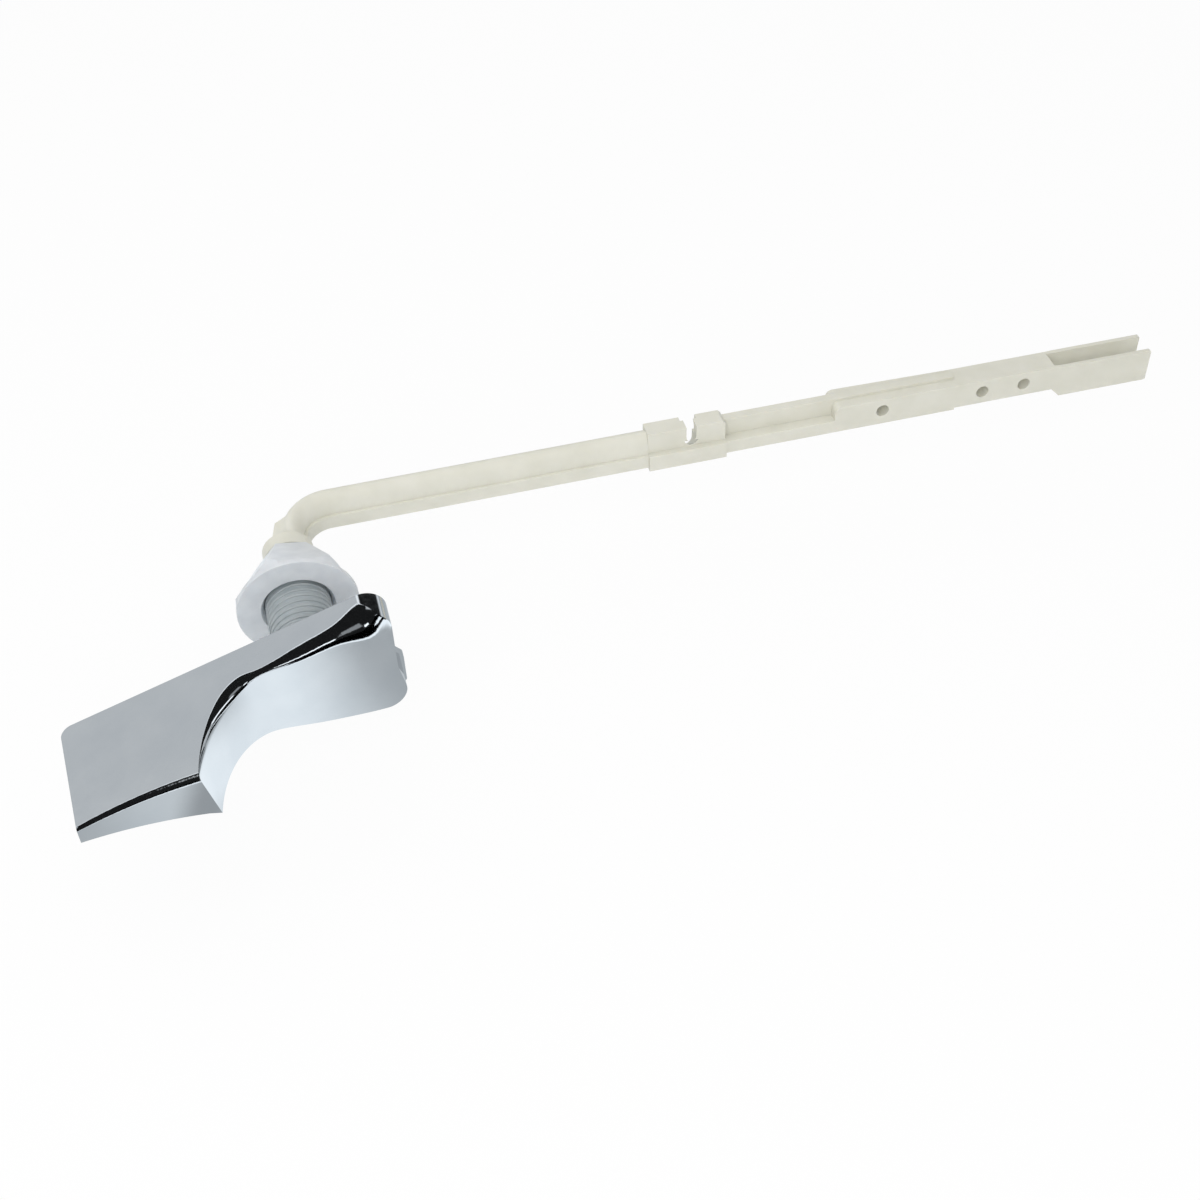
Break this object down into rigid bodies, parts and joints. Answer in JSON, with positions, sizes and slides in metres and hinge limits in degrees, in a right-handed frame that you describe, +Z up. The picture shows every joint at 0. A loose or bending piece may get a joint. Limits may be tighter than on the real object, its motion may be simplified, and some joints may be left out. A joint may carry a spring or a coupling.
{
  "type": "cistern lever",
  "caption": "Toilet tank lever with a chromed side handle outside the wall, a threaded bushing and nut through it, and a long elbowed arm with chain holes and a forked end inside.",
  "frame": {"origin": "on the turning axis, in the plane where the bushing's lip seats on the outside of the tank wall", "axes": "+X along the arm, +Y through the wall into the tank, +Z up"},
  "size_m": [0.2858, 0.0854, 0.0305],
  "materials": {
    "handle": "polished chrome plating",
    "bushing": "translucent white moulding",
    "nut": "translucent white moulding",
    "arm": "satin ivory acetal"
  },
  "bodies": {
    "bushing": {"bushing": "bushing"},
    "lever": {"handle": "handle", "elbow": "arm", "arm": "arm"},
    "nut": {"nut": "nut"}
  },
  "joints": [
    {"name": "lever_turn", "type": "hinge", "parent": "bushing", "child": "lever", "pos_m": [0, 0, 0], "axis": [0, -1, 0], "range_deg": [0, 30]},
    {"name": "nut_turn", "type": "hinge", "parent": "bushing", "child": "nut", "pos_m": [0, 0.024, 0], "axis": [0, 1, 0], "continuous": true}
  ]
}
